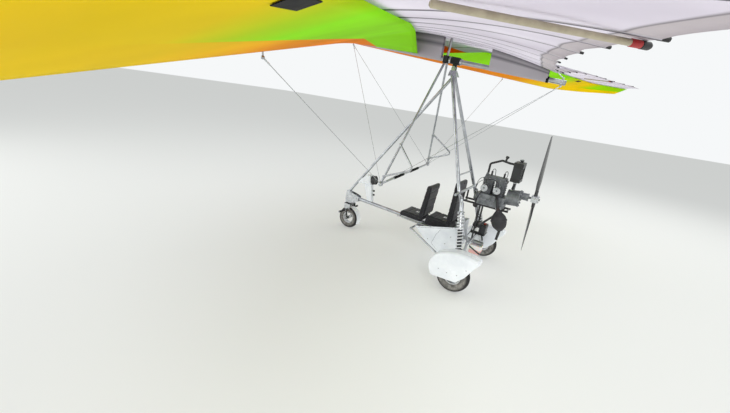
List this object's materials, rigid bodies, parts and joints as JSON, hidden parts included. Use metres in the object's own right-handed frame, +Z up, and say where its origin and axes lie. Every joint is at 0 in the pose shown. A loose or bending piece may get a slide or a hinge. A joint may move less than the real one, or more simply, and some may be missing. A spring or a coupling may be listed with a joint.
{
  "type": "two-seat flex-wing microlight aircraft",
  "caption": "Weight-shift microlight: a three-wheeled trike with tandem seats, rear engine and pusher propeller, hung from a wire-braced swept fabric wing.",
  "frame": {"origin": "on the ground, midway between the two main wheels", "axes": "+X forward along the trike, +Y to port along the wing span, +Z up; the ground is z = 0"},
  "size_m": [3.9678, 9.6933, 3.5912],
  "materials": {
    "tyre_rubber": "matt black rubber",
    "rim_paint": "satin pale powder coat",
    "tube_aluminium": "satin anodised",
    "tube_black": "satin black powder coat",
    "bracket_metal": "machined, matt",
    "steel_fittings": "bright plated",
    "rigging_wire": "bare stranded wire",
    "sail_cloth": "coated woven polyester",
    "pocket_cloth": "woven polyester",
    "moulded_white": "glossy moulded",
    "seat_cover": "woven nylon over foam",
    "dial_case": "matt moulded",
    "engine_casting": "sand-cast, matt",
    "radiator_black": "matt black",
    "hose_rubber": "matt",
    "exhaust_black": "heat-resistant matt black",
    "propeller_black": "satin composite",
    "hub_metal": "machined",
    "battery_case": "matt moulded",
    "bottle_plastic": "translucent moulded"
  },
  "bodies": {
    "trike": {"head_block": "bracket_metal", "base_tube": "tube_aluminium", "front_strut": "tube_aluminium", "mast_legs": "tube_aluminium", "mast_head": "bracket_metal", "seat_frame": "tube_aluminium", "front_seat": "seat_cover", "rear_seat": "seat_cover", "underseat_fairing": "moulded_white", "instrument_pod": "moulded_white", "instrument_dial": "dial_case", "drag_beam": "tube_aluminium", "gear_arm_port": "steel_fittings", "gear_arm_starboard": "steel_fittings", "shock_port": "steel_fittings", "shock_starboard": "steel_fittings", "rear_frame": "tube_aluminium", "spat_port": "moulded_white", "spat_starboard": "moulded_white", "engine_mount": "tube_black", "battery_box": "battery_case", "overflow_bottle": "bottle_plastic", "crankcase": "engine_casting", "cylinders": "engine_casting", "cylinder_head": "engine_casting", "carburettors": "engine_casting", "gearbox": "engine_casting", "radiator": "radiator_black", "coolant_hoses": "hose_rubber", "muffler": "exhaust_black", "exhaust_pipe": "exhaust_black"},
    "steering_fork": {"steering_fork": "tube_black", "foot_pegs": "tube_aluminium", "mudguard": "moulded_white"},
    "nose_wheel": {"nose_rim": "rim_paint", "nose_tyre": "tyre_rubber"},
    "main_wheel_port": {"main_rim_port": "rim_paint", "main_tyre_port": "tyre_rubber"},
    "main_wheel_starboard": {"main_rim_starboard": "rim_paint", "main_tyre_starboard": "tyre_rubber"},
    "propeller": {"propeller_hub": "hub_metal", "propeller_blades": "propeller_black"},
    "hang_block": {"hang_block": "bracket_metal"},
    "wing": {"wing_keel": "tube_aluminium", "keel_fittings": "bracket_metal", "nose_plates": "bracket_metal", "frame_bracket": "bracket_metal", "base_bar": "tube_aluminium", "uprights": "tube_aluminium", "control_bars": "tube_aluminium", "king_post": "tube_aluminium", "leading_edges": "tube_aluminium", "sail_port": "sail_cloth", "sail_starboard": "sail_cloth", "keel_pocket": "pocket_cloth", "lower_wires": "rigging_wire", "upper_wires": "rigging_wire"}
  },
  "joints": [
    {"name": "steering", "type": "hinge", "parent": "trike", "child": "steering_fork", "pos_m": [2.03, 0, 0.5], "axis": [0, 0, 1], "range_deg": [-25, 25]},
    {"name": "nose_wheel_spin", "type": "hinge", "parent": "steering_fork", "child": "nose_wheel", "pos_m": [1.98, 0, 0.17], "axis": [0, 1, 0], "continuous": true},
    {"name": "main_wheel_port_spin", "type": "hinge", "parent": "trike", "child": "main_wheel_port", "pos_m": [0, 0.72, 0.2], "axis": [0, 1, 0], "continuous": true},
    {"name": "main_wheel_starboard_spin", "type": "hinge", "parent": "trike", "child": "main_wheel_starboard", "pos_m": [0, -0.72, 0.2], "axis": [0, 1, 0], "continuous": true},
    {"name": "propeller_spin", "type": "hinge", "parent": "trike", "child": "propeller", "pos_m": [-0.56, 0, 1.18], "axis": [1, 0, 0], "continuous": true},
    {"name": "wing_pitch", "type": "hinge", "parent": "trike", "child": "hang_block", "pos_m": [0.758, 0, 2.537], "axis": [0, -1, 0], "range_deg": [-12, 13]},
    {"name": "wing_roll", "type": "hinge", "parent": "hang_block", "child": "wing", "pos_m": [0.758, 0, 2.621], "axis": [0.9954, 0, 0.0958], "range_deg": [-2.5, 13.5]}
  ]
}
